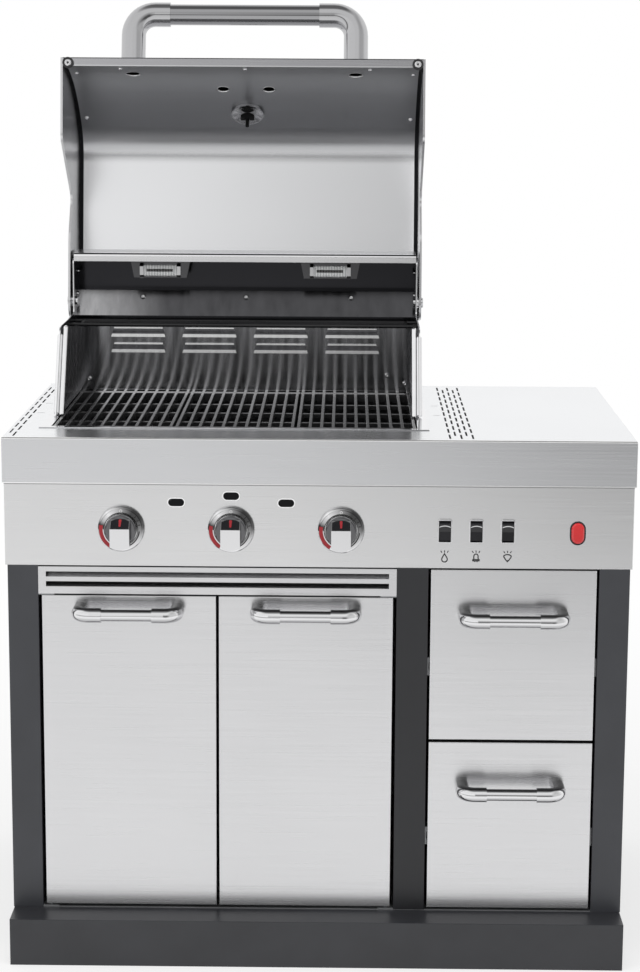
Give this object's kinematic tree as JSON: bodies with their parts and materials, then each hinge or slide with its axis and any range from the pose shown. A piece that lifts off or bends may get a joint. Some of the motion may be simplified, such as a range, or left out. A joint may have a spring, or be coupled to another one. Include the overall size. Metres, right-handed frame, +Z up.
{
  "type": "outdoor kitchen",
  "caption": "Free-standing stainless outdoor kitchen: drop-in gas grill under a hinged lid, side worktop, control panel with push-turn knobs, doors and drawers on a dark plinth.",
  "frame": {"origin": "centre of the bounding box, on the floor", "axes": "+Z up, +X to the right seen from the front, -Y towards the user"},
  "size_m": [1.07, 0.7894, 1.6424],
  "materials": {
    "stainless": "brushed",
    "firebox_steel": "brushed",
    "sheet_steel": "plain",
    "dark_paint": "semi-gloss",
    "chrome": "satin",
    "black_enamel": "gloss",
    "cast_iron": "enamelled",
    "brass": "turned",
    "aluminium": "plain",
    "lamp_glass": "clear",
    "black_plastic": "gloss",
    "red_plastic": "gloss",
    "rubber": "matt"
  },
  "bodies": {
    "cabinet": {"control_panel": "stainless", "louvre_panel": "stainless", "worktop": "stainless", "lid_pivot_bolts": "stainless", "rear_housing": "stainless", "firebox_pan": "firebox_steel", "firebox_left_wall": "firebox_steel", "firebox_right_wall": "firebox_steel", "rear_louvre_wall": "firebox_steel", "rear_baffle": "firebox_steel", "burners": "firebox_steel", "heat_tents": "firebox_steel", "base_floor": "sheet_steel", "back_panel": "sheet_steel", "divider_panel": "sheet_steel", "grease_tray": "sheet_steel", "drawer_rails": "sheet_steel", "door_hinges": "sheet_steel", "plinth": "dark_paint", "corner_posts": "dark_paint", "middle_post": "dark_paint", "left_side_panel": "dark_paint", "right_side_panel": "dark_paint", "warming_rack": "black_enamel", "lamp_housings": "chrome", "knob_bezels": "chrome", "cooking_grates": "cast_iron", "gas_valves": "brass", "gas_manifold": "aluminium", "lamp_lenses": "lamp_glass", "switch_housings": "black_plastic", "indicator_lenses": "black_plastic", "pilot_lamp": "red_plastic"},
    "lid": {"lid_skin": "stainless", "lid_liner": "stainless", "lid_left_plate": "stainless", "lid_right_plate": "stainless", "lid_front_rail": "stainless", "lid_handle": "chrome", "lid_thermometer": "chrome", "lid_bumpers": "rubber"},
    "left_door": {"left_door": "stainless", "left_door_handle": "chrome"},
    "right_door": {"right_door": "stainless", "right_door_handle": "chrome"},
    "upper_drawer": {"upper_drawer_front": "stainless", "upper_drawer_box": "sheet_steel", "upper_drawer_handle": "chrome"},
    "lower_drawer": {"lower_drawer_front": "stainless", "lower_drawer_box": "sheet_steel", "lower_drawer_handle": "chrome"},
    "valve_stem_left": {"valve_stem_left": "brass"},
    "knob_left": {"knob_left": "chrome"},
    "rocker_left": {"rocker_left": "black_plastic"},
    "valve_stem_middle": {"valve_stem_middle": "brass"},
    "knob_middle": {"knob_middle": "chrome"},
    "rocker_middle": {"rocker_middle": "black_plastic"},
    "valve_stem_right": {"valve_stem_right": "brass"},
    "knob_right": {"knob_right": "chrome"},
    "rocker_right": {"rocker_right": "black_plastic"}
  },
  "joints": [
    {"name": "lid_swing", "type": "hinge", "parent": "cabinet", "child": "lid", "pos_m": [-0.14795, 0.216, 1.087], "axis": [1, 0, 0], "range_deg": [0, 99]},
    {"name": "left_door_swing", "type": "hinge", "parent": "cabinet", "child": "left_door", "pos_m": [-0.46295, -0.324, 0.364], "axis": [0, 0, -1], "range_deg": [0, 90]},
    {"name": "right_door_swing", "type": "hinge", "parent": "cabinet", "child": "right_door", "pos_m": [0.11945, -0.324, 0.364], "axis": [0, 0, 1], "range_deg": [0, 90]},
    {"name": "upper_drawer_slide", "type": "slide", "parent": "cabinet", "child": "upper_drawer", "axis": [0, -1, 0], "range_m": [0, 0.38]},
    {"name": "lower_drawer_slide", "type": "slide", "parent": "cabinet", "child": "lower_drawer", "axis": [0, -1, 0], "range_m": [0, 0.38]},
    {"name": "valve_push_left", "type": "slide", "parent": "cabinet", "child": "valve_stem_left", "axis": [0, 1, 0], "range_m": [0, 0.005], "stiffness_N_per_m": 800},
    {"name": "knob_turn_left", "type": "hinge", "parent": "valve_stem_left", "child": "knob_left", "pos_m": [-0.33395, -0.352, 0.7565], "axis": [0, -1, 0], "range_deg": [0, 225]},
    {"name": "valve_push_middle", "type": "slide", "parent": "cabinet", "child": "valve_stem_middle", "axis": [0, 1, 0], "range_m": [0, 0.005], "stiffness_N_per_m": 800},
    {"name": "knob_turn_middle", "type": "hinge", "parent": "valve_stem_middle", "child": "knob_middle", "pos_m": [-0.14795, -0.352, 0.7565], "axis": [0, -1, 0], "range_deg": [0, 225]},
    {"name": "valve_push_right", "type": "slide", "parent": "cabinet", "child": "valve_stem_right", "axis": [0, 1, 0], "range_m": [0, 0.005], "stiffness_N_per_m": 800},
    {"name": "knob_turn_right", "type": "hinge", "parent": "valve_stem_right", "child": "knob_right", "pos_m": [0.03805, -0.352, 0.7565], "axis": [0, -1, 0], "range_deg": [0, 225]},
    {"name": "rocker_tip_left", "type": "hinge", "parent": "cabinet", "child": "rocker_left", "pos_m": [0.21345, -0.324, 0.756], "axis": [-1, 0, 0], "range_deg": [0, 20]},
    {"name": "rocker_tip_middle", "type": "hinge", "parent": "cabinet", "child": "rocker_middle", "pos_m": [0.26675, -0.324, 0.756], "axis": [-1, 0, 0], "range_deg": [0, 20]},
    {"name": "rocker_tip_right", "type": "hinge", "parent": "cabinet", "child": "rocker_right", "pos_m": [0.32005, -0.324, 0.756], "axis": [-1, 0, 0], "range_deg": [0, 20]}
  ]
}
